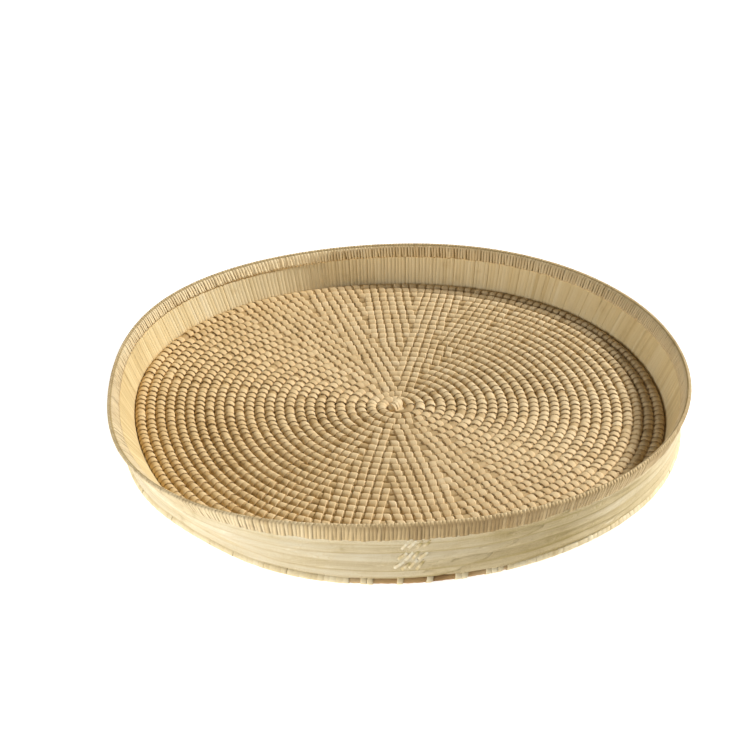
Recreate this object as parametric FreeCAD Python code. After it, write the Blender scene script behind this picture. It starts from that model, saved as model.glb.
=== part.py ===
import FreeCAD, Part
import math
import os

# A coiled winnowing basket: a shallow round tray with a flaring wall.
# Millimetres, +Z up, origin on the ground under the middle of the tray.
# The tray is one long grass bundle wound in a spiral and sewn, turn to turn, with palm strip.
# The wall is a bent splint hoop, lined inside with upright staves and wrapped outside with strips.
# A bound rim closes its top, and a brown foot coil, lashed on, closes its bottom.

Vector = FreeCAD.Vector
UP = Vector(0, 0, 1)
FULL_TURN = 360.0

# --- driving dimensions: the tray's coil ---
coil_diameter = 8.8          # grass bundle
coil_gap = 0.8               # between one turn and the next
coil_turns = 24              # full turns before the last, tapering one
knot_space = 9.1             # radius left free in the middle for the starting knot
tray_lift = 5.0              # from the ground to the underside of the bundle
tail_sections = 9            # circles that shape the tapering end
tail_tip_share = 0.15        # thinnest end of the bundle, as a share of its diameter

# --- driving dimensions: the sewing ---
stitch_width = 2.6
stitch_thickness = 0.6
stitch_slack = 0.8           # room between the bundle and the loop, above and below
stitch_bite = 1.3            # how far outside the last turn's centre a loop goes through it
stitch_sidestep = 0.4        # free space beside the stitch it hooks into
fork_clearance = 0.5         # between a new line of stitches and those beside it
first_stitches = 9           # round the starting knot
thinnest_sewn = 3.0          # the tail isn't sewn where its bundle is thinner than this

# --- driving dimensions: the starting knot ---
knot_length = 17.0
knot_diameter = 7.4
knot_turn_deg = 52.0         # which way the folded bundle lies
knot_wraps = 4
knot_wrap_width = 2.2
knot_wrap_thickness = 0.5

# --- driving dimensions: the wall ---
basket_height = 54.0         # top of the bound rim
wall_flare_deg = 19.0        # outwards from upright
edge_clearance = 0.3         # between the sewn edge of the tray and the staves
stave_count = 440
stave_thickness = 0.8
stave_gap = 0.3
stave_lift = 0.5             # staves stop just short of the ground
hoop_thickness = 1.8
hoop_butt_gap = 1.0          # between the two ends of the bent splint
strip_count = 5
strip_thickness = 0.7
strip_gap = 0.3              # between one strip and the next above it
strip_butt_gap = 1.2         # between the two ends of one strip
layer_clearance = 0.05       # between the layers of the wall

# --- driving dimensions: the rim ---
rim_strip_height = 10.0
rim_strip_thickness = 0.6
rim_core_height = 2.6
rim_core_sides = 6           # flats on its rounded top
binding_pitch = 3.1
binding_width = 2.7
binding_thickness = 0.5
binding_slack = 0.1

# --- driving dimensions: the foot ---
foot_diameter = 7.6
foot_clearance = 0.1         # between the foot coil and the hoop
lashing_count = 64
lashing_width = 6.0
lashing_thickness = 0.6
lashing_slack = 0.1
lashing_ground_gap = 0.15    # the hoop's edge stands on the ground, the lashings don't

# --- worked out ---
coil_radius = coil_diameter / 2
coil_pitch = coil_diameter + coil_gap
first_radius = knot_space + coil_radius
last_radius = first_radius + coil_turns * coil_pitch
coil_height = tray_lift + coil_radius
flare = math.radians(wall_flare_deg)
lean = math.tan(flare)
thicken = 1 / math.cos(flare)
stitch_rise = coil_radius + stitch_slack + stitch_thickness
stitch_offset = (stitch_width + stitch_sidestep) / 2
fork_gap = 2 * (2 * stitch_offset + stitch_width + fork_clearance)

wall_foot_radius = (
    last_radius
    - lean * coil_height
    + (coil_radius + stitch_thickness + edge_clearance) * thicken
)
hoop_inside = stave_thickness + layer_clearance
hoop_outside = hoop_inside + hoop_thickness
strip_inside = hoop_outside + layer_clearance
strip_outside = strip_inside + strip_thickness
wall_top = basket_height - binding_thickness - binding_slack - rim_core_height
rim_bottom = wall_top - rim_strip_height
rim_inside = -layer_clearance - rim_strip_thickness
rim_outside = strip_outside + layer_clearance + rim_strip_thickness

foot_radius = foot_diameter / 2
foot_height = foot_radius + lashing_slack + lashing_thickness + lashing_ground_gap
strip_bottom = foot_height + foot_radius + lashing_slack + lashing_thickness


def wall_radius(height, depth):
    """Radius at a height, of the surface that lies depth outside the staves' inner face."""
    return wall_foot_radius + lean * height + depth * thicken


foot_ring_radius = wall_radius(foot_height, hoop_outside) + (foot_radius + foot_clearance) * thicken


def section_point(radius, height):
    return Vector(radius, 0, height)


def polygon_face(points):
    return Part.Face(Part.makePolygon(points + points[:1]))


def turned(shape, angle_deg):
    copy = shape.copy()
    copy.rotate(Vector(0, 0, 0), UP, angle_deg)
    return copy


def export(name, solids):
    shape = solids[0] if len(solids) == 1 else Part.makeCompound(solids)
    shape.exportStep(os.path.join("parts", name + ".step"))


# --- the tray's coil ---

def spiral_radius(turn, angle):
    """Distance from the axis to the bundle's centre, at an angle on one turn of the spiral.

    The first half of a turn is an arc about the axis, and the second half an arc
    about a point half a pitch away, so that each arc runs on into the next.
    """
    arc = first_radius + turn * coil_pitch
    if angle <= math.pi:
        return arc
    shift = coil_pitch / 2
    return shift * math.cos(angle) + math.sqrt((arc + shift) ** 2 - (shift * math.sin(angle)) ** 2)


def spiral_path():
    """Half-turn arcs from the knot outwards, and one more half turn at the tray's edge."""
    edges = []
    for half in range(2 * coil_turns + 1):
        radius = first_radius + half * coil_pitch / 2
        outward = 1 if half % 2 == 0 else -1
        centre = 0 if outward == 1 else coil_pitch / 2
        start = Vector(centre + outward * radius, 0, coil_height)
        middle = Vector(centre, outward * radius, coil_height)
        end = Vector(centre - outward * radius, 0, coil_height)
        edges.append(Part.Arc(start, middle, end).toShape())
    return Part.Wire(edges)


def tail_radius(angle):
    """Radius of the bundle on the tapering half turn, where the turn inside it comes outwards."""
    return coil_radius * (1 - math.cos(angle)) / 2


def tail_circle(angle):
    radius = tail_radius(angle)
    reach = last_radius + coil_radius - radius
    centre = Vector(reach * math.cos(angle), reach * math.sin(angle), coil_height)
    tangent = Vector(-math.sin(angle), math.cos(angle), 0)
    return Part.Wire(Part.makeCircle(radius, centre, tangent))


def base_coil():
    start = Part.makeCircle(coil_radius, Vector(first_radius, 0, coil_height), Vector(0, 1, 0))
    bundle = spiral_path().makePipeShell([Part.Wire(start)], True, False)
    tip_angle = 2 * math.pi - math.acos(1 - 2 * tail_tip_share)
    step = (tip_angle - math.pi) / (tail_sections - 1)
    circles = [tail_circle(math.pi + step * i) for i in range(tail_sections)]
    tail = Part.makeLoft(circles, True, False)
    return [bundle.fuse(tail)]


# --- the sewing ---

def hook_radius(turn, angle):
    """Radius at which a loop goes through the turn inside its own."""
    return spiral_radius(turn, angle % (2 * math.pi)) - coil_pitch + stitch_bite


def stitch_lines():
    """Angles of the stitches on each turn, the tapering one last.

    A turn keeps the lines of the turn inside it, and a new line starts in each gap that
    has grown wide enough for it, so that the stitches stand in rays that fork as the tray widens.
    """
    widest_start = 2.0
    fork_share = 0.48
    weights = [widest_start ** (7 * i % first_stitches / first_stitches) for i in range(first_stitches)]
    angles = [2 * math.pi * sum(weights[:i]) / sum(weights) for i in range(first_stitches)]
    rows = [angles]
    for turn in range(1, coil_turns + 1):
        forked = []
        for angle, following in zip(angles, angles[1:] + [angles[0] + 2 * math.pi]):
            forked.append(angle)
            if (following - angle) * hook_radius(turn, angle) > fork_gap:
                forked.append(angle + (following - angle) * fork_share)
        angles = forked
        rows.append(angles)
    return rows


def stitch_loop(inner, outer, rise):
    """A flat strip bent into an upright ellipse, between two distances from the axis."""
    half = (outer - inner) / 2
    around = Part.Ellipse(Vector(0, 0, 0), half, rise).toShape()
    inside = Part.Ellipse(Vector(0, 0, 0), half - stitch_thickness, rise - stitch_thickness).toShape()
    ring = Part.Face([Part.Wire(around), Part.Wire(inside)])
    ring.rotate(Vector(0, 0, 0), Vector(1, 0, 0), 90)
    ring.translate(Vector((outer + inner) / 2, stitch_width / 2, coil_height))
    return ring.extrude(Vector(0, -stitch_width, 0))


def stitch_row(turn, angles):
    """The loops that sew one turn to the turn inside it, stepping aside of the loops they hook into."""
    side = 1 if turn % 2 else -1
    loop = stitch_loop(stitch_bite - coil_pitch, coil_radius + stitch_thickness, stitch_rise)
    loops = []
    for angle in angles:
        placed = loop.copy()
        placed.translate(Vector(spiral_radius(turn, angle), side * stitch_offset, 0))
        loops.append(turned(placed, math.degrees(angle)))
    return loops


def edge_stitches(angles):
    """The loops of the outermost turn, which shrink as its bundle tapers away."""
    side = 1 if coil_turns % 2 else -1
    outer = last_radius + coil_radius + stitch_thickness
    loops = []
    for angle in angles:
        bundle = coil_radius if angle <= math.pi else tail_radius(angle)
        if 2 * bundle < thinnest_sewn:
            continue
        inner = spiral_radius(coil_turns - 1, angle) + stitch_bite
        loop = stitch_loop(inner, outer, bundle + stitch_slack + stitch_thickness)
        loop.translate(Vector(0, side * stitch_offset, 0))
        loops.append(turned(loop, math.degrees(angle)))
    return loops


# --- the starting knot ---

def start_knot():
    """The bundle's folded end: a short round-ended roll."""
    radius = knot_diameter / 2
    half = knot_length / 2 - radius
    roll = Part.makeCylinder(radius, 2 * half, Vector(-half, 0, coil_height), Vector(1, 0, 0))
    ends = [Part.makeSphere(radius, Vector(side * half, 0, coil_height)) for side in (-1, 1)]
    return [turned(roll.multiFuse(ends).removeSplitter(), knot_turn_deg)]


def knot_wrapping():
    inner = knot_diameter / 2
    straight = knot_length - knot_diameter
    step = straight / knot_wraps
    rings = []
    for i in range(knot_wraps):
        start = Vector(-straight / 2 + (i + 0.5) * step - knot_wrap_width / 2, 0, coil_height)
        along = Vector(1, 0, 0)
        band = Part.makeCylinder(inner + knot_wrap_thickness, knot_wrap_width, start, along)
        ring = band.cut(Part.makeCylinder(inner, knot_wrap_width, start, along))
        rings.append(turned(ring, knot_turn_deg))
    return rings


# --- the wall ---

def wall_band(low, high, inside, outside, sweep_deg=FULL_TURN):
    """A flaring band between two heights and two depths of the wall."""
    corners = [
        section_point(wall_radius(low, inside), low),
        section_point(wall_radius(low, outside), low),
        section_point(wall_radius(high, outside), high),
        section_point(wall_radius(high, inside), high),
    ]
    return polygon_face(corners).revolve(Vector(0, 0, 0), UP, sweep_deg)


def gap_angle(gap, radius):
    return math.degrees(gap / radius)


def wall_hoop():
    sweep = FULL_TURN - gap_angle(hoop_butt_gap, wall_radius(0, hoop_inside))
    return [wall_band(0, wall_top, hoop_inside, hoop_outside, sweep)]


def inner_staves():
    step = FULL_TURN / stave_count
    sweep = step - gap_angle(stave_gap, wall_radius(stave_lift, 0))
    stave = wall_band(stave_lift, wall_top, 0, stave_thickness, sweep)
    return [turned(stave, i * step) for i in range(stave_count)]


def outer_strip(index):
    """One of the strips wound round the wall, its butted ends a little further round than the last's."""
    pitch = (wall_top - strip_bottom + strip_gap) / strip_count
    low = strip_bottom + index * pitch
    sweep = FULL_TURN - gap_angle(strip_butt_gap, wall_radius(low, strip_inside))
    strip = wall_band(low, low + pitch - strip_gap, strip_inside, strip_outside, sweep)
    front_deg = -82.0
    stagger_deg = 6.0
    return [turned(strip, front_deg + index * stagger_deg)]


# --- the rim ---

def inner_rim_strip():
    return [wall_band(rim_bottom, wall_top, rim_inside, rim_inside + rim_strip_thickness)]


def outer_rim_strip():
    return [wall_band(rim_bottom, wall_top, rim_outside - rim_strip_thickness, rim_outside)]


def rim_outline(margin):
    """The bound rim's section: slanting sides, a level bottom and a rounded top."""
    low = rim_bottom - margin
    inner_low = section_point(wall_radius(low, rim_inside - margin), low)
    outer_low = section_point(wall_radius(low, rim_outside + margin), low)
    outer_high = section_point(wall_radius(wall_top, rim_outside + margin), wall_top)
    inner_high = section_point(wall_radius(wall_top, rim_inside - margin), wall_top)
    crown = section_point((outer_high.x + inner_high.x) / 2, wall_top + rim_core_height + margin)
    edges = [
        Part.makeLine(inner_low, outer_low),
        Part.makeLine(outer_low, outer_high),
        Part.Arc(outer_high, crown, inner_high).toShape(),
        Part.makeLine(inner_high, inner_low),
    ]
    return Part.Wire(edges)


def rim_core():
    """A hoop of stems that fills the rounded top, with a many-sided section."""
    outer = section_point(wall_radius(wall_top, rim_outside), wall_top)
    inner = section_point(wall_radius(wall_top, rim_inside), wall_top)
    crown = section_point((outer.x + inner.x) / 2, wall_top + rim_core_height)
    sides = Part.Arc(outer, crown, inner).toShape().discretize(rim_core_sides + 1)
    return [polygon_face(sides).revolve(Vector(0, 0, 0), UP, FULL_TURN)]


def rim_binding():
    """Flat turns of palm strip round the rim, through the wall under the rim strips."""
    face = Part.Face([rim_outline(binding_slack + binding_thickness), rim_outline(binding_slack)])
    face.translate(Vector(0, binding_width / 2, 0))
    turn = face.extrude(Vector(0, -binding_width, 0))
    count = round(2 * math.pi * wall_radius(rim_bottom, rim_inside) / binding_pitch)
    return [turned(turn, i * FULL_TURN / count) for i in range(count)]


# --- the foot ---

def foot_coil():
    return [Part.makeTorus(foot_ring_radius, foot_radius, Vector(0, 0, foot_height), UP)]


def belt_outline(first, first_radius_, second, second_radius_):
    """A closed belt round two circles in the XZ plane, the first one nearer the axis."""
    apart = second.sub(first)
    direction = math.atan2(apart.z, apart.x)
    wrap = math.acos((first_radius_ - second_radius_) / apart.Length)

    def on_circle(centre, radius, angle):
        return centre.add(Vector(radius * math.cos(angle), 0, radius * math.sin(angle)))

    upper, lower = direction + wrap, direction - wrap
    first_upper = on_circle(first, first_radius_, upper)
    first_back = on_circle(first, first_radius_, direction + math.pi)
    first_lower = on_circle(first, first_radius_, lower)
    second_lower = on_circle(second, second_radius_, lower)
    second_front = on_circle(second, second_radius_, direction)
    second_upper = on_circle(second, second_radius_, upper)
    edges = [
        Part.Arc(first_upper, first_back, first_lower).toShape(),
        Part.makeLine(first_lower, second_lower),
        Part.Arc(second_lower, second_front, second_upper).toShape(),
        Part.makeLine(second_upper, first_upper),
    ]
    return Part.Wire(edges)


def foot_lashing():
    """Belts of palm strip round the foot coil and the tray's sewn edge, through the wall between them."""
    edge = section_point(last_radius, coil_height)
    foot = section_point(foot_ring_radius, foot_height)
    outlines = []
    for margin in (lashing_slack + lashing_thickness, lashing_slack):
        outlines.append(belt_outline(edge, stitch_rise + margin, foot, foot_radius + margin))
    face = Part.Face(outlines)
    face.translate(Vector(0, lashing_width / 2, 0))
    belt = face.extrude(Vector(0, -lashing_width, 0))
    return [turned(belt, i * FULL_TURN / lashing_count) for i in range(lashing_count)]


def main():
    os.makedirs("parts", exist_ok=True)
    export("start_knot", start_knot())
    export("knot_wrapping", knot_wrapping())
    export("base_coil", base_coil())
    rows = stitch_lines()
    for turn in range(coil_turns):
        export("stitch_row_%02d" % (turn + 1), stitch_row(turn, rows[turn]))
    export("edge_stitches", edge_stitches(rows[coil_turns]))
    export("wall_hoop", wall_hoop())
    export("inner_staves", inner_staves())
    for index in range(strip_count):
        export("outer_strip_%d" % (index + 1), outer_strip(index))
    export("inner_rim_strip", inner_rim_strip())
    export("outer_rim_strip", outer_rim_strip())
    export("rim_core", rim_core())
    export("rim_binding", rim_binding())
    export("foot_coil", foot_coil())
    export("foot_lashing", foot_lashing())


main()
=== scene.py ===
import math
import random

import bmesh
import bpy
from mathutils import Matrix, Vector, noise


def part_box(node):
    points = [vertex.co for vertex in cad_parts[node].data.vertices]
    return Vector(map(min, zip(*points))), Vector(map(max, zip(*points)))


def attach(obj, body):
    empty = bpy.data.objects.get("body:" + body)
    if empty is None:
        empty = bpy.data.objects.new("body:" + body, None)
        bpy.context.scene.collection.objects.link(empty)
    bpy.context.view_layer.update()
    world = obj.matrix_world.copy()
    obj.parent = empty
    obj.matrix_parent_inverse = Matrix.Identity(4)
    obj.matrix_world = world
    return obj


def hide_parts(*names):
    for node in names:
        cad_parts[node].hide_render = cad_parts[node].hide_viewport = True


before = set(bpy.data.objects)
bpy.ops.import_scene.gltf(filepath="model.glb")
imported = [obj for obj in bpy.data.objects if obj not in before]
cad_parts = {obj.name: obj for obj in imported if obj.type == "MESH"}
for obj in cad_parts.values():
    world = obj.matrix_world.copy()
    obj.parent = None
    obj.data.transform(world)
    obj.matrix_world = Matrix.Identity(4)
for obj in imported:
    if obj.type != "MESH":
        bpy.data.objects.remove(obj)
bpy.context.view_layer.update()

# A coiled winnowing basket: a sewn grass tray inside a flaring splint wall, with a bound rim
# and a lashed foot coil. Lengths are in millimetres until settle() places them in metres.

chance = random.Random(7)

MM = 0.001


def box_mm(node):
    """Lowest and highest corners of a node of the model, in millimetres."""
    low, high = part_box(node)
    return low / MM, high / MM


# --- sizes taken from the model ---
coil_low, coil_high = box_mm("base_coil")
coil_radius = (coil_high.z - coil_low.z) / 2
coil_height = (coil_high.z + coil_low.z) / 2
last_radius = coil_high.y - coil_radius
coil_pitch = 9.6
coil_turns = 24
first_radius = last_radius - coil_turns * coil_pitch

hoop_low, hoop_high = box_mm("wall_hoop")
flare = math.radians(19)
wall_top = hoop_high.z
stave_thickness = 0.8
hoop_thickness = 1.8
hoop_outside = 2.65          # depths in the wall are measured outwards from the staves' inner face
strip_outside = 3.4

rim_low, rim_high = box_mm("rim_binding")
basket_height = rim_high.z
core_top = box_mm("rim_core")[1].z
rim_bottom = rim_low.z

foot_low, foot_high = box_mm("foot_coil")
foot_radius = (foot_high.z - foot_low.z) / 2
foot_height = (foot_high.z + foot_low.z) / 2
foot_ring_radius = foot_high.x - foot_radius


def wall_radius(height, depth):
    """Radius of the surface that lies depth outside the staves' inner face, at a height."""
    return (
        hoop_high.y
        - (wall_top - height) * math.tan(flare)
        + (depth - hoop_outside) / math.cos(flare)
    )


# --- the hand-made shape: a few slow waves round the basket, each (cosine, sine) ---
rim_spread = 1.6
rim_waves = ((-0.3, 0.5), (0.7, 0.7), (3.1, 1.0), (-5.8, -0.7))
foot_waves = ((0.6, 0.1), (-3.6, -2.8), (2.0, 3.2), (-1.6, -1.9))
lift_waves = ((2.3, -5.1), (-2.5, -0.5), (0.1, -2.3), (0.9, -1.7))
rim_drop = 1.2
tray_sag = 2.2
tray_top = 16.0


def waves(terms, angle):
    total = 0.0
    for order, (cosine, sine) in enumerate(terms, 1):
        total += cosine * math.cos(order * angle) + sine * math.sin(order * angle)
    return total


def bulge(angle, centre, width):
    """1 at the centre, in degrees round the basket, and falling away to nothing beyond the width."""
    off = (math.degrees(angle) - centre + 180) % 360 - 180
    return math.exp(-(off / width) ** 2)


def settle(x, y, z):
    """Takes a point of the perfectly round basket, in mm, to its place in the hand-made one, in m."""
    radius = math.hypot(x, y)
    angle = math.atan2(y, x)
    up = min(max((z - tray_top) / (basket_height - tray_top), 0.0), 1.1)
    out = min(radius / last_radius, 1.1)
    push = (waves(foot_waves, angle) * (1 - up) + (rim_spread + waves(rim_waves, angle)) * up) * out ** 2
    lift = (waves(lift_waves, angle) - rim_drop) * up
    sag = tray_sag * max(1 - out * out, 0.0)
    grow = (1 + push / max(radius, 1.0)) * MM
    return Vector((x * grow, y * grow, (z + lift - sag) * MM))


def settle_polar(radius, angle, z):
    return settle(radius * math.cos(angle), radius * math.sin(angle), z)


# --- modelling helpers ---

def straight_strip(
    width, thickness, length, steps, sides=6, belly=0.35, square=0.5, ribs=0, capped=True, real_length=None
):
    """A straight strip along X, crowned on top and flatter below, with its lie marked for the grain."""
    rib_relief = 0.45
    bm = bmesh.new()
    bmesh.ops.create_circle(bm, segments=sides, radius=1)
    bmesh.ops.transform(bm, verts=bm.verts, matrix=Matrix.Rotation(math.radians(90), 4, "Y"))
    for vert in bm.verts:
        across, up = vert.co.y, vert.co.z
        if abs(up) > 0.01:
            across = math.copysign(abs(across) ** square, across)
        if ribs:
            up *= 1 + rib_relief * math.cos(2 * math.pi * ribs * across / 2)
        vert.co = (0, across * width / 2, up * thickness * (belly if up < 0 else 1))
    bmesh.ops.spin(
        bm,
        geom=bm.edges[:],
        cent=(0, 0, 0),
        axis=(1, 0, 0),
        dvec=(length / steps, 0, 0),
        angle=0,
        steps=steps,
        use_duplicate=False,
    )
    if capped:
        bmesh.ops.holes_fill(bm, edges=bm.edges[:], sides=sides)
    mark_lie(bm, (real_length or length) / length)
    return bm


def mark_lie(bm, stretch=1.0):
    """Keeps each point's place along and across the straight strip, in metres, for the grain."""
    lie = bm.loops.layers.uv.new("lie")
    bm.verts.layers.float.new("tone")
    for face in bm.faces:
        for loop in face.loops:
            loop[lie].uv = (loop.vert.co.x * stretch * MM, loop.vert.co.y * MM)


def bent(bm, place, weld=False):
    for vert in bm.verts:
        vert.co = place(vert.co.x, vert.co.y, vert.co.z)
    if weld:
        bmesh.ops.remove_doubles(bm, verts=bm.verts, dist=0.01)
    bmesh.ops.recalc_face_normals(bm, faces=bm.faces)
    mesh = bpy.data.meshes.new("pattern")
    bm.to_mesh(mesh)
    bm.free()
    return mesh


def pattern(bm):
    return bent(bm, lambda x, y, z: Vector((x, y, z)))


def lay(target, mesh, place, tone):
    """Adds a copy of a pattern, with each point moved to its place, in one tone of straw."""
    start = len(target.verts)
    target.from_mesh(mesh)
    target.verts.ensure_lookup_table()
    layer = target.verts.layers.float["tone"]
    for vert in target.verts[start:]:
        vert.co = place(vert.co.x, vert.co.y, vert.co.z)
        vert[layer] = tone


def finished(name, bm, material, nodes, smooth=True):
    """Turns a bmesh into a piece of the basket that stands for nodes of the model."""
    mesh = bpy.data.meshes.new(name)
    bm.to_mesh(mesh)
    bm.free()
    for polygon in mesh.polygons:
        polygon.use_smooth = smooth
    mesh.materials.append(material)
    piece = bpy.data.objects.new(name, mesh)
    bpy.context.scene.collection.objects.link(piece)
    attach(piece, "root")
    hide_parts(*nodes)
    return piece


# --- finishes ---

class Socket:
    """A shader value that can be used in plain sums."""

    def __init__(self, finish, socket):
        self.finish = finish
        self.socket = socket

    def sum(self, operation, a, b):
        return self.finish.node("ShaderNodeMath", [a, b], operation=operation)

    def __add__(self, other):
        return self.sum("ADD", self, other)

    __radd__ = __add__

    def __sub__(self, other):
        return self.sum("SUBTRACT", self, other)

    def __rsub__(self, other):
        return self.sum("SUBTRACT", other, self)

    def __mul__(self, other):
        return self.sum("MULTIPLY", self, other)

    __rmul__ = __mul__

    def __truediv__(self, other):
        return self.sum("DIVIDE", self, other)

    def __pow__(self, other):
        return self.sum("POWER", self, other)


class Finish:
    """A procedural finish, built on the principled shader."""

    def __init__(self, name):
        self.material = bpy.data.materials.new(name)
        self.material.use_nodes = True
        self.tree = self.material.node_tree
        self.shader = self.tree.nodes["Principled BSDF"]

    def node(self, kind, values=(), output=0, stops=None, **settings):
        made = self.tree.nodes.new(kind)
        for key, value in settings.items():
            setattr(made, key, value)
        if stops:
            ramp = made.color_ramp
            while len(ramp.elements) < len(stops):
                ramp.elements.new(1.0)
            for element, (position, color) in zip(ramp.elements, stops):
                element.position = position
                element.color = (*color, 1.0) if len(color) == 3 else color
        sockets = [socket for socket in made.inputs if socket.enabled]
        named = values.items() if isinstance(values, dict) else zip(range(len(values)), values)
        for key, value in named:
            if isinstance(key, int):
                target = sockets[key]
            else:
                target = next(socket for socket in sockets if socket.name == key)
            self.feed(target, value)
        outputs = [socket for socket in made.outputs if socket.enabled]
        if isinstance(output, int):
            return Socket(self, outputs[output])
        return Socket(self, next(socket for socket in outputs if socket.name == output))

    def feed(self, target, value):
        if isinstance(value, Socket):
            self.tree.links.new(value.socket, target)
        elif isinstance(value, tuple) and len(value) == 3 and target.type == "RGBA":
            target.default_value = (*value, 1.0)
        else:
            target.default_value = value

    def mix(self, share, first, second, blend="MIX"):
        return self.node(
            "ShaderNodeMix",
            {"Factor": share, "A": first, "B": second},
            data_type="RGBA",
            blend_type=blend,
        )

    def noise(self, vector, scale, detail=3.0, roughness=0.5):
        return self.node(
            "ShaderNodeTexNoise",
            {"Vector": vector, "Scale": scale, "Detail": detail, "Roughness": roughness},
            output=0,
        )

    def steps(self, value, low, high):
        """0 below low, 1 above high, and smooth between."""
        return self.node(
            "ShaderNodeMapRange",
            {"Value": value, "From Min": low, "From Max": high, "To Min": 0.0, "To Max": 1.0},
            interpolation_type="SMOOTHSTEP",
        )

    def stretched(self, vector, scale):
        return self.node("ShaderNodeMapping", {"Vector": vector, "Scale": scale}, vector_type="TEXTURE")


def straw(
    name, pale, middle, dark, stain, blotch=0.35, grain=0.5, relief=0.25, fibre=(0.02, 0.0005), gold=0.0
):
    """Dried stem or palm strip: tones that change from strip to strip, fine fibres and stained patches."""
    finish = Finish(name)
    lie = finish.node("ShaderNodeUVMap", uv_map="lie")
    tone = finish.node("ShaderNodeAttribute", attribute_name="tone", output="Fac")
    place = finish.node("ShaderNodeTexCoord", output="Object")
    apart = finish.node("ShaderNodeCombineXYZ", {"X": tone * 7.31, "Y": tone * 3.17, "Z": tone * 11.0})
    lie_apart = finish.node("ShaderNodeVectorMath", [lie, apart], operation="ADD")
    along = finish.stretched(lie_apart, (fibre[0], fibre[1], 1.0))
    fibres = finish.noise(along, 1.0, 3.0, 0.6)
    clouds = finish.noise(place, 28.0, 3.0, 0.55)
    specks = finish.noise(place, 160.0, 2.0, 0.5)
    depth = tone * 0.75 + (fibres - 0.5) * grain + (clouds - 0.5) * blotch + 0.12
    color = finish.node(
        "ShaderNodeValToRGB",
        [depth],
        stops=[(0.0, pale), (0.45, middle), (0.95, dark)],
    )
    stained = finish.steps(clouds * 0.6 + specks * 0.4, 0.54, 0.72)
    color = finish.mix(stained * 0.5, color, stain)
    if gold:
        # Warmer and darker from a little right of the middle out to the basket's left side (-X).
        across = finish.node("ShaderNodeSeparateXYZ", [place], output="X")
        toward_left = finish.steps(across * -1.0, -0.06, 0.24)
        color = finish.mix(toward_left * gold, color, (1.0, 0.9, 0.7), blend="MULTIPLY")
    shader = finish.shader
    finish.feed(shader.inputs["Base Color"], color)
    finish.feed(shader.inputs["Roughness"], 0.66 + (fibres - 0.5) * 0.3)
    shader.inputs["Specular IOR Level"].default_value = 0.25
    bump = finish.node(
        "ShaderNodeBump",
        {"Height": fibres, "Strength": relief, "Distance": 0.0006},
    )
    finish.feed(shader.inputs["Normal"], bump)
    return finish.material


coil_grass = straw(
    "coil_grass", (0.75, 0.55, 0.29), (0.62, 0.44, 0.215), (0.40, 0.26, 0.11), (0.31, 0.20, 0.08),
    relief=0.5, gold=0.7,
)
stitch_palm = straw(
    "stitch_palm", (0.87, 0.69, 0.42), (0.77, 0.58, 0.32), (0.58, 0.40, 0.185), (0.62, 0.43, 0.195),
    gold=0.7,
)
stave_splint = straw(
    "stave_splint", (0.91, 0.77, 0.49), (0.81, 0.64, 0.34), (0.60, 0.44, 0.20), (0.66, 0.49, 0.23),
)
strip_splint = straw(
    "strip_splint", (0.95, 0.85, 0.63), (0.81, 0.65, 0.36), (0.47, 0.35, 0.12), (0.56, 0.42, 0.18),
    blotch=0.5, grain=2.0, relief=0.8, fibre=(0.11, 0.0030),
)
hoop_wood = straw(
    "hoop_wood", (0.60, 0.46, 0.24), (0.46, 0.33, 0.15), (0.28, 0.19, 0.08), (0.24, 0.16, 0.07),
)
binding_palm = straw(
    "binding_palm", (0.90, 0.74, 0.46), (0.67, 0.50, 0.26), (0.34, 0.22, 0.09), (0.52, 0.35, 0.16),
)
foot_grass = straw(
    "foot_grass", (0.80, 0.62, 0.36), (0.52, 0.32, 0.13), (0.25, 0.13, 0.045), (0.20, 0.10, 0.04), relief=0.5,
)
lashing_palm = straw(
    "lashing_palm", (0.92, 0.81, 0.56), (0.82, 0.68, 0.41), (0.60, 0.46, 0.23), (0.56, 0.42, 0.20),
)


# --- the tray's coil ---

def spiral_radius(turn, angle):
    """Radius of the bundle's centre: a turn's first half is an even arc, its second half slides outwards."""
    arc = first_radius + turn * coil_pitch
    if angle <= math.pi:
        return arc
    shift = coil_pitch / 2
    return shift * math.cos(angle) + math.sqrt((arc + shift) ** 2 - (shift * math.sin(angle)) ** 2)


curl_start = -1.7            # the first of the coil curls in round the knot


def coil_at(total_angle):
    """Radius of the bundle's centre and of the bundle itself, a total angle from its start."""
    if total_angle < 0:
        fresh = total_angle / curl_start
        return spiral_radius(-1, total_angle + 2 * math.pi), coil_radius * (1 - 0.5 * fresh)
    turn = int(total_angle / (2 * math.pi))
    angle = total_angle - turn * 2 * math.pi
    if turn < coil_turns or angle <= math.pi:
        return spiral_radius(min(turn, coil_turns), angle), coil_radius
    thin = coil_radius * max((1 - math.cos(angle)) / 2, 0.12)
    return last_radius + coil_radius - thin, thin


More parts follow.
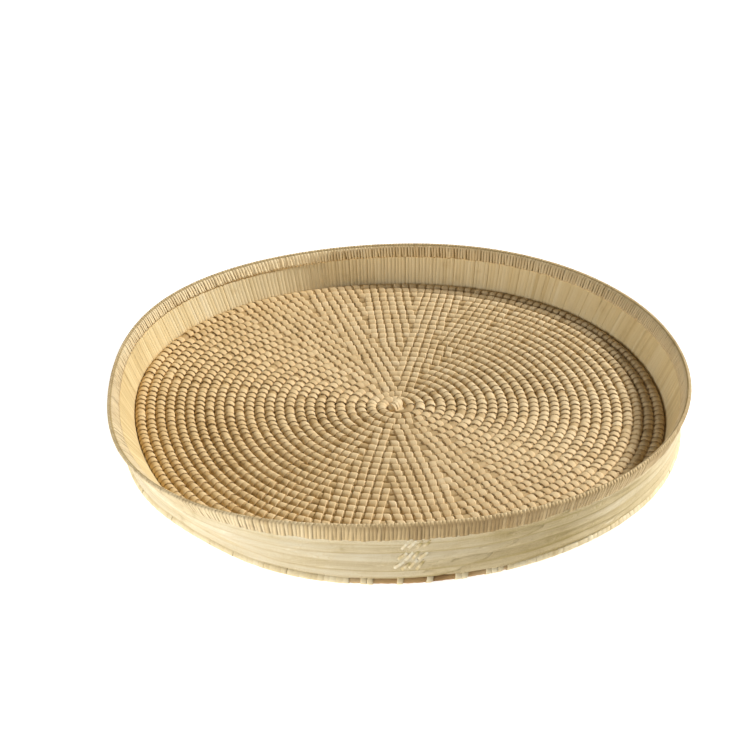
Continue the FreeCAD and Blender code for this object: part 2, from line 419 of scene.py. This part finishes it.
def base_coil():
    """The grass bundle, in lengths laid end to end: stems with a slow twist, squeezed by the sewing."""
    stems = 7
    stem_relief = 0.055
    twist_length = 55.0
    tail_end = (coil_turns + 0.93) * 2 * math.pi
    total_length = first_radius * tail_end + coil_pitch * tail_end ** 2 / (4 * math.pi)
    steps = 60
    curl_length = -curl_start * first_radius
    lengths = round(total_length / (steps * 5.6))
    piece_length = (total_length + curl_length) / lengths
    mesh = pattern(straight_strip(2, 1, piece_length, steps, sides=2 * stems, belly=1, square=1, capped=False))
    target = bmesh.new()
    for index in range(lengths):
        start = index * piece_length

        def place(x, y, z):
            run = start + x - curl_length
            if run < 0:
                total = run / first_radius
            else:
                total = math.sqrt(first_radius ** 2 + coil_pitch * run / math.pi) - first_radius
                total = min(total * 2 * math.pi / coil_pitch, tail_end)
            radius, bundle = coil_at(total)
            around = math.atan2(z, y)
            ridge = 1 + stem_relief * math.cos(stems * around)
            lump = 1 + 0.05 * noise.noise(Vector((run * 0.045, around, 3.0)))
            around += 2 * math.pi * run / twist_length
            reach = bundle * 1.02 * ridge * lump * math.hypot(y, z)
            return settle_polar(
                radius + 1.09 * reach * math.cos(around), total, coil_height + reach * math.sin(around)
            )

        lay(target, mesh, place, 0.5 + 0.4 * noise.noise(Vector((index * 0.7, 0.0, 0.0))))
    bmesh.ops.remove_doubles(target, verts=target.verts, dist=0.00001)
    bmesh.ops.holes_fill(target, edges=target.edges[:], sides=2 * stems)
    bmesh.ops.recalc_face_normals(target, faces=target.faces)
    return finished("tray_coil", target, coil_grass, ["base_coil"])


# --- the sewing: straight lines of stitches in sectors, each line parallel to its sector's ray ---
sector_rays = (
    (2, 0), (21, 0), (38, 0), (53, 0), (67, 130), (79, 0), (95, 120), (107, 0), (124, 0), (141, 0),
    (160, 0), (178, 0), (195, 0), (211, 0), (226, 60), (242, 0), (260, 0), (283, 0), (299, 0), (320, 0),
    (341, 0),
)
ray_share = 0.3              # how far past its own ray a sector reaches towards the next
line_spacing = 8.1
stitch_width = 7.3
stitch_thickness = 0.42


def sector_bounds(radius):
    """Each sector's ray, and the angles it lies between, at a radius."""
    rays = [math.radians(ray) for ray, start in sector_rays if radius >= start]
    bounds = []
    for index, ray in enumerate(rays):
        before = rays[index - 1] - (2 * math.pi if index == 0 else 0)
        after = rays[(index + 1) % len(rays)] + (2 * math.pi if index == len(rays) - 1 else 0)
        bounds.append((ray, before + ray_share * (ray - before), ray + ray_share * (after - ray)))
    return bounds


def stitch_row(turn):
    """Angles of one turn's stitches, and how far each line slants from the radius."""
    middle = first_radius + (turn + 0.5) * coil_pitch
    found = []
    if middle < 34:
        count = round(2 * math.pi * middle / line_spacing)
        return [(2 * math.pi * i / count + 0.3, 0.0) for i in range(count)]
    for ray, low, high in sector_bounds(middle):
        reach = int(middle * 0.6 / line_spacing) + 1
        for line in range(-reach, reach + 1):
            angle = ray
            for _ in range(3):
                radius = spiral_radius(turn, angle % (2 * math.pi))
                angle = ray + math.asin(max(min(line * line_spacing / radius, 0.99), -0.99))
            if low <= angle < high:
                found.append((angle, ray - angle))
    found.sort()
    kept = []
    closest = 0.62 * line_spacing
    for angle, slant in found:
        if kept and (angle - kept[-1][0]) * middle < closest:
            continue
        kept.append((angle, slant))
    if (kept[0][0] + 2 * math.pi - kept[-1][0]) * middle < closest:
        kept.pop()
    return kept


def stitch_pattern():
    """One stitch: a flat strip closed round the bundle, drawn narrow where it goes between two turns."""
    steps = 12
    reach_in = 5.6
    reach_out = 5.15
    rise = 4.95
    waist = 0.7

    def place(x, y, z):
        angle = -2 * math.pi * x
        half = (reach_in + reach_out) / 2 + z
        middle = (reach_out - reach_in) / 2
        pinch = waist + (1 - waist) * abs(math.sin(angle)) ** 0.8
        climb = math.copysign(abs(math.sin(angle)) ** 1.15, math.sin(angle))
        return Vector((middle + half * math.cos(angle), y * pinch, (rise + z) * climb))

    strip = straight_strip(stitch_width, stitch_thickness, 1.0, steps, capped=False, real_length=35.0)
    return bent(strip, place, weld=True)


def stitches():
    loop = stitch_pattern()
    groups = ((0, 11), (12, 16), (17, 20), (21, 23), (24, 24))
    total = 0
    for first, last in groups:
        target = bmesh.new()
        for turn in range(first, last + 1):
            for angle, slant in stitch_row(turn):
                angle %= 2 * math.pi
                radius, bundle = coil_at(turn * 2 * math.pi + angle)
                if bundle < 1.4:
                    continue
                size = 0.25 + 0.75 * bundle / coil_radius
                wide = chance.uniform(0.84, 1.04)
                high = 1 + chance.gauss(0.0, 0.035)
                tone = min(max(chance.gauss(0.34, 0.14) + 0.2 * bulge(angle, -50, 30), 0.0), 1.0)
                aside = chance.gauss(0.0, 0.35)
                lean = math.tan(slant) + chance.gauss(0.0, 0.04)
                cosine, sine = math.cos(angle), math.sin(angle)

                def place(x, y, z):
                    out = radius + x * size
                    across = y * wide + aside + x * lean
                    return settle(
                        out * cosine - across * sine, out * sine + across * cosine, coil_height + z * size * high
                    )

                lay(target, loop, place, tone)
                total += 1
        nodes = ["stitch_row_%02d" % (turn + 1) for turn in range(first, min(last, 23) + 1)]
        if last == 24:
            nodes = ["edge_stitches"]
        finished("sewing_rows_%02d_to_%02d" % (first + 1, last + 1), target, stitch_palm, nodes)
    print("stitches", total)


# --- the starting knot ---

def start_knot():
    length, width, turn, rise = 22.0, 11.0, math.radians(57), 8.6
    heart_radius, knot_back = 14.0, 1.5
    lowest = 4.4
    ball = bmesh.new()
    bmesh.ops.create_uvsphere(ball, u_segments=24, v_segments=14, radius=1.0)
    mark_lie(ball, 10.0)
    ball = pattern(ball)

    def bundle(x, y, z):
        along, across, up = x * length / 2, y * width / 2, max(z * (rise - 0.6), -lowest)
        return settle(
            along * math.cos(turn) - across * math.sin(turn),
            along * math.sin(turn) + across * math.cos(turn) + knot_back,
            coil_height + up,
        )

    def heart(x, y, z):
        return settle(x * heart_radius, y * heart_radius, coil_height - 0.9 + z * 3.2)

    target = bmesh.new()
    lay(target, ball, bundle, 0.1)
    lay(target, ball, heart, 0.35)
    finished("starting_knot", target, stitch_palm, ["start_knot"])

    wraps = 4

    def place(x, y, z):
        angle = -2 * math.pi * x
        return Vector((y, (width / 2 + z) * math.cos(angle), (rise - 0.6 + z) * math.sin(angle)))

    loop = bent(straight_strip(3.6, 0.35, 1.0, 14, capped=False, real_length=30.0), place, weld=True)
    target = bmesh.new()
    for i in range(wraps):
        shift = (i - (wraps - 1) / 2) * 3.3
        size = math.sqrt(max(1 - (shift / (length / 2)) ** 2, 0.2))

        def wrap(x, y, z):
            ex, ey = x + shift + y * 0.15, y * size
            return settle(
                ex * math.cos(turn) - ey * math.sin(turn),
                ex * math.sin(turn) + ey * math.cos(turn) + knot_back,
                coil_height + max(z * size, -lowest - 0.3),
            )

        lay(target, loop, wrap, 0.0)
    finished("knot_wraps", target, stitch_palm, ["knot_wrapping"])


# --- the wall ---

def wall_hoop():
    """The wide splint bent round the tray, standing on its lower edge."""
    round_about = 2 * math.pi * wall_radius(wall_top / 2, hoop_outside)
    bm = straight_strip(wall_top, hoop_thickness / 2, round_about, 200, sides=32, belly=1, square=0.7)

    def place(x, y, z):
        angle = x / round_about * 2 * math.pi * 0.999
        height = wall_top / 2 + y
        return settle_polar(wall_radius(height, hoop_outside - hoop_thickness / 2 + z), angle, height)

    target = bmesh.new()
    lay(target, pattern(bm), place, 0.45)
    finished("hoop", target, hoop_wood, ["wall_hoop"])


def inner_staves():
    """Narrow splints side by side, a little uneven in width, set and tone, with painted light at the back of the
    wall and painted shade at its left.
    """
    count = 440
    bottom = 8.0
    height = wall_top - bottom
    spacing = 2 * math.pi * wall_radius(30, 0) / count
    mesh = pattern(straight_strip(spacing * 1.3, 0.42, height, 8, sides=6))
    target = bmesh.new()
    for i in range(count):
        angle0 = 2 * math.pi * (i + chance.uniform(-0.1, 0.1)) / count
        wide = chance.uniform(0.88, 1.1)
        lean = chance.gauss(0.0, 0.005)
        sink = chance.uniform(-0.12, 0.15)
        # Painted light and shade on the staves: paler at the back of the wall (about 100 degrees), which the key
        # lamp does not reach, and darker at the left (about 188 degrees), which it lights most.
        painted_light_and_shade = 0.55 * bulge(angle0, 100, 34) - 0.42 * bulge(angle0, 188, 38)
        tone = min(max(chance.gauss(0.38, 0.13) - painted_light_and_shade, 0.0), 1.0)

        def place(x, y, z):
            level = bottom + x
            against_tray = 0.8 * max(1 - (level - bottom) / 12.0, 0.0)
            radius = wall_radius(level, stave_thickness - 0.3 - z + sink) - against_tray
            return settle_polar(radius, angle0 + (y * wide + lean * x) / radius, level)

        lay(target, mesh, place, tone)
    bmesh.ops.recalc_face_normals(target, faces=target.faces)
    finished("staves", target, stave_splint, ["inner_staves"])


def spread(level, angle):
    """How far the wall's outside stands out over the foot roll, low down, and further at its corners."""
    share = min(max(1 - (level - 4.0) / 38.0, 0.0), 1.0)
    corner = 4.5 * bulge(angle, -153, 15) - 3.0 * bulge(angle, -128, 12)
    return (8.6 + 1.6 * math.cos(2 * angle) - 0.8 * math.sin(2 * angle) + corner) * share ** 1.3


strip_tones = (0.1, 0.2, 0.02, 0.16, 0.06)


def splice_slivers(target, index):
    """Short ends of splint tucked slantwise over the wall, where a new length begins."""
    sliver = pattern(straight_strip(10.0, 0.5, 2.2, 4, sides=8))
    for step in range(4):
        slant = math.radians(chance.uniform(32, 50))
        level0 = 12.0 + 7.5 * (index - 1) + chance.uniform(-1, 1)
        aside0 = 2.0 + 5.5 * step + 2.5 * (index - 2)

        def place(x, y, z):
            along, across = y * math.cos(slant) - x * math.sin(slant), y * math.sin(slant) + x * math.cos(slant)
            level = level0 + across
            radius = wall_radius(level, strip_outside + 0.35 + z)
            angle = math.radians(-90) + (aside0 + along) / radius
            radius += spread(level, angle) / math.cos(flare)
            return settle_polar(radius, angle, level)

        lay(target, sliver, place, chance.choice((0.05, 0.2, 0.65)))


def outer_strips():
    """Wide strips wound round the wall, each with three raised fibres, its lower edge over the last."""
    low = foot_height + 4.2
    high = rim_bottom + 4.0
    count = 5
    rise = (high - low) / count
    start_angle = math.radians(-85)
    stagger = math.radians(5)
    overlap = 30.0
    for index in range(count):
        round_about = 2 * math.pi * wall_radius(30, strip_outside)
        length = round_about + overlap
        bm = straight_strip(rise * 1.3, 0.6, length, 300, sides=24, belly=0.5, square=0.8, ribs=4)
        middle = low + (index + 0.5) * rise

        def place(x, y, z):
            angle = start_angle + stagger * index + x / round_about * 2 * math.pi
            wander = 1.0 * noise.noise(Vector((x * 0.016, index * 5.0, 0.5)))
            swell = 1 + 0.14 * noise.noise(Vector((x * 0.05, index * 9.0, 2.0)))
            x += 0.9 * y * bulge(angle, -80, 14)
            end = min(max((x - length + 22) / 22, 0.0), 1.0) + min(max((16 - x) / 16, 0.0), 1.0)
            angle = start_angle + stagger * index + x / round_about * 2 * math.pi
            level = middle + wander + y * swell * (1 - 0.55 * end) + 2.4 * end
            lap = 0.7 * min(max((x - round_about) / 12.0, 0.0), 1.0)
            tuck = 0.4 - 0.9 * y / rise
            depth = hoop_outside + 0.1 + z + tuck + lap
            depth += 0.5 * noise.noise(Vector((x * 0.024, index * 1.5, 9.0)))
            depth += 0.12 * noise.noise(Vector((x * 0.05, y * 1.6, index * 7.0)))
            return settle_polar(wall_radius(level, depth + spread(level, angle)), angle, level)

        target = bmesh.new()
        flat = pattern(bm)
        lay(target, flat, place, 0.0)
        tone = target.verts.layers.float["tone"]
        for mark, vert in zip(flat.vertices, target.verts):
            angle = math.atan2(vert.co.y, vert.co.x)
            shade = strip_tones[index] + 0.46 * bulge(angle, -60, 30)
            shade += 0.3 * noise.noise(Vector((mark.co.x * 0.012, mark.co.y * 0.5, index * 3.0)))
            edge = max(-mark.co.y / (rise * 0.65) - 0.55, 0.0) / 0.45
            vert[tone] = shade + 0.4 * edge + 0.1 * noise.noise(vert.co * 9)
        if index in (2, 3, 4):
            splice_slivers(target, index)
        name = "outer_strip_%d" % (index + 1)
        finished("wall_strip_%d" % (index + 1), target, strip_splint, [name])


# --- the rim ---

def rim_hoop(name, node, low, high, depth, thickness, material):
    round_about = 2 * math.pi * wall_radius(high, depth)
    bm = straight_strip(high - low, thickness, round_about, 180, sides=8, belly=1, capped=False)

    def place(x, y, z):
        level = (low + high) / 2 + y
        return settle_polar(wall_radius(level, depth + z), x / round_about * 2 * math.pi, level)

    target = bmesh.new()
    lay(target, pattern(bm), place, 0.5)
    bmesh.ops.remove_doubles(target, verts=target.verts, dist=0.00001)
    bmesh.ops.recalc_face_normals(target, faces=target.faces)
    finished(name, target, material, [node])


def rim_binding():
    """Fine wraps of palm strip, one beside the next, over the rim and through the wall below it."""
    inside, outside = -0.45, strip_outside + 0.85
    binding_pitch = 3.1
    shoulder = wall_top - 1.5
    low = rim_bottom
    crown = basket_height - 0.4
    count = round(2 * math.pi * wall_radius(low, inside) / binding_pitch)
    spacing = 2 * math.pi * wall_radius(basket_height, 2) / count
    steps = 12
    mid = (inside + outside) / 2
    half = (outside - inside) / 2
    side = shoulder - low
    arch = math.pi * half
    total = 2 * half + 2 * side + arch

    def outline(share):
        """A point on the bound rim's outline: depth and height, starting under the wall and going outwards."""
        run = share * total
        if run < half:
            return mid + run, low
        run -= half
        if run < side:
            return outside, low + run
        run -= side
        if run < arch:
            turn = math.pi * run / arch
            return mid + half * math.cos(turn), shoulder + (crown - shoulder) * math.sin(turn)
        run -= arch
        if run < side:
            return inside, shoulder - run
        return inside + (run - side), low

    def place(x, y, z):
        depth, level = outline(x % 1.0)
        ahead = outline((x + 0.01) % 1.0)
        behind = outline((x - 0.01) % 1.0)
        run = Vector((ahead[0] - behind[0], ahead[1] - behind[1])).normalized()
        return Vector((depth + run.y * z, y, level - run.x * z))

    strip = straight_strip(spacing * 1.35, 0.18, 1.0, steps, sides=4, square=1, capped=False, real_length=32.0)
    loop = bent(strip, place, weld=True)
    target = bmesh.new()
    for i in range(count):
        angle0 = 2 * math.pi * i / count
        wide = chance.uniform(0.85, 1.12)
        lean = 0.06 + chance.gauss(0, 0.02)
        proud = chance.uniform(-0.04, 0.06)
        drop = chance.uniform(-0.7, 0.5)
        tone = chance.gauss(0.0, 0.08)

        def wrap(x, y, z):
            fall = drop * max((shoulder - z) / (shoulder - low), 0.0)
            radius = wall_radius(z, x + proud * (1 if x > mid else -1))
            return settle_polar(radius, angle0 + (y * wide + lean * (z - low)) / radius, z + fall)

        first = len(target.verts)
        lay(target, loop, wrap, 0.0)
        layer = target.verts.layers.float["tone"]
        for mark, vert in zip(loop.vertices, target.verts[first:]):
            face_tone = 0.0 + 0.2 * bulge(angle0, 75, 45)
            if mark.co.x > mid:
                face_tone = 0.62 + 0.34 * bulge(angle0, -80, 18) - 0.8 * bulge(angle0, -132, 28)
            on_edge = max(1 - abs(mark.co.x - mid - 0.8) / 1.8, 0.0) * (mark.co.z > shoulder)
            on_edge *= 1 - 0.8 * bulge(angle0, -132, 35)
            vert[layer] = min(max(face_tone + tone + 0.7 * on_edge, 0.0), 1.0)
    finished("rim_wraps", target, binding_palm, ["rim_binding"])


# --- the foot ---

foot_width_share = 1.25      # the tied roll is wider than it is tall


def foot_out(angle):
    """How far the roll is drawn outwards from its round place, under the wall's lowest strip."""
    return spread(foot_height, angle) - 6.4


def foot_coil():
    stems = 8
    round_about = 2 * math.pi * foot_ring_radius
    bm = straight_strip(2, 1, round_about, 420, sides=2 * stems, belly=1, square=1, capped=False)

    def place(x, y, z):
        angle = x / round_about * 2 * math.pi
        around = math.atan2(z, y)
        ridge = 1 + 0.05 * math.cos(stems * around)
        way = Vector((math.cos(angle) * 9, math.sin(angle) * 9, 0))
        lump = 1 + 0.08 * noise.noise(way)
        twist = around + 24 * angle
        reach = foot_radius * 0.97 * ridge * lump
        across = reach * math.cos(twist) * foot_width_share
        return settle_polar(
            foot_ring_radius + foot_out(angle) + across, angle,
            foot_height + min(reach, foot_height) * math.sin(twist),
        )

    target = bmesh.new()
    lay(target, pattern(bm), place, 0.0)
    bmesh.ops.remove_doubles(target, verts=target.verts, dist=0.00001)
    bmesh.ops.recalc_face_normals(target, faces=target.faces)
    tone = target.verts.layers.float["tone"]
    for vert in target.verts:
        brown = bulge(math.atan2(vert.co.y, vert.co.x), -86, 16)
        vert[tone] = 0.05 + 0.55 * brown + 0.4 * noise.noise(vert.co * 40)
    finished("foot_roll", target, foot_grass, ["foot_coil"])


def foot_lashing():
    """Groups of flat turns that cover most of the foot, further apart at the front."""
    count = 64
    turn_spacing = 5.0
    rise = foot_radius + 0.35

    def place(x, y, z):
        angle = -2 * math.pi * x
        reach = (foot_radius * foot_width_share + 0.35 + z) * math.cos(angle)
        return Vector((reach, y, (rise + z) * math.sin(angle)))

    strip = straight_strip(turn_spacing * 1.1, 0.4, 1.0, 14, sides=6, capped=False, real_length=26.0)
    loop = bent(strip, place, weld=True)
    target = bmesh.new()
    for i in range(count):
        around = i / count
        at_front = 0.72 < around < 0.80
        jitter = 0.15 if at_front else 0.03
        angle0 = 2 * math.pi * (i + chance.uniform(-jitter, jitter)) / count
        turns = chance.choice((1, 2, 3)) if at_front else 5
        for turn in range(turns):
            wide = chance.uniform(0.85, 1.05) if at_front else chance.uniform(1.0, 1.2)
            lean = 0.12 + chance.gauss(0, 0.08)
            tone = min(max(chance.gauss(0.3, 0.16), 0.0), 1.0)
            proud = chance.uniform(-0.1, 0.2)
            shift = (turn - (turns - 1) / 2) * turn_spacing

            def wrap(x, y, z):
                radius = foot_ring_radius + foot_out(angle0 + (shift + y) / foot_ring_radius) + x + proud
                level = max(foot_height + z, 0.12)
                return settle_polar(radius, angle0 + (shift + y * wide + lean * z) / radius, level)

            lay(target, loop, wrap, tone)
    finished("foot_ties", target, lashing_palm, ["foot_lashing"])


# --- floor, light and camera ---

def studio():
    bm = bmesh.new()
    bmesh.ops.create_grid(bm, x_segments=1, y_segments=1, size=20.0)
    mesh = bpy.data.meshes.new("floor")
    bm.to_mesh(mesh)
    bm.free()
    floor = bpy.data.objects.new("floor", mesh)
    bpy.context.scene.collection.objects.link(floor)
    paper = Finish("pale_paper")
    paper.shader.inputs["Base Color"].default_value = (0.55, 0.55, 0.55, 1)
    paper.shader.inputs["Roughness"].default_value = 1.0
    paper.shader.inputs["Specular IOR Level"].default_value = 0.0
    paper.shader.inputs["Emission Color"].default_value = (1, 1, 1, 1)
    paper.shader.inputs["Emission Strength"].default_value = 0.9
    mesh.materials.append(paper.material)

    world = bpy.data.worlds.new("studio")
    world.use_nodes = True
    world.node_tree.nodes["Background"].inputs["Color"].default_value = (1, 0.9, 0.76, 1)
    world.node_tree.nodes["Background"].inputs["Strength"].default_value = 0.10
    bpy.context.scene.world = world
    bpy.context.scene.view_settings.view_transform = "Standard"

    def lamp(name, azimuth, elevation, distance, size, watts):
        data = bpy.data.lights.new(name, "AREA")
        data.energy = watts
        data.shape = "DISK"
        data.size = size
        item = bpy.data.objects.new(name, data)
        a, e = math.radians(azimuth), math.radians(elevation)
        item.location = Vector((math.cos(a) * math.cos(e), math.sin(a) * math.cos(e), math.sin(e))) * distance
        item.rotation_euler = item.location.to_track_quat("Z", "Y").to_euler()
        bpy.context.scene.collection.objects.link(item)

    lamp("key_lamp", 25, 36, 8.0, 1.4, 815)
    lamp("soft_fill", -150, 9, 2.6, 1.2, 43)


def camera():
    data = bpy.data.cameras.new("camera")
    data.sensor_width = 36
    data.lens = 83.7
    data.shift_x = -0.0275
    data.shift_y = 0.0543
    item = bpy.data.objects.new("camera", data)
    distance, elevation, roll = 1.62, math.radians(30.93), math.radians(-0.81)
    item.location = (0, -distance * math.cos(elevation), distance * math.sin(elevation))
    item.rotation_euler = (math.radians(90) - elevation, 0, 0)
    item.rotation_euler.rotate_axis("Z", roll)
    bpy.context.scene.collection.objects.link(item)
    bpy.context.scene.camera = item


camera()
base_coil()
stitches()
start_knot()
wall_hoop()
inner_staves()
outer_strips()
rim_hoop("inner_rim_band", "inner_rim_strip", rim_bottom + 1, wall_top, -0.1, 0.15, hoop_wood)
rim_hoop("outer_rim_band", "outer_rim_strip", rim_bottom + 1, wall_top, strip_outside + 0.3, 0.3, hoop_wood)
rim_hoop("rim_filling", "rim_core", wall_top - 1, core_top - 0.4, strip_outside / 2, 1.6, hoop_wood)
rim_binding()
foot_coil()
foot_lashing()
studio()
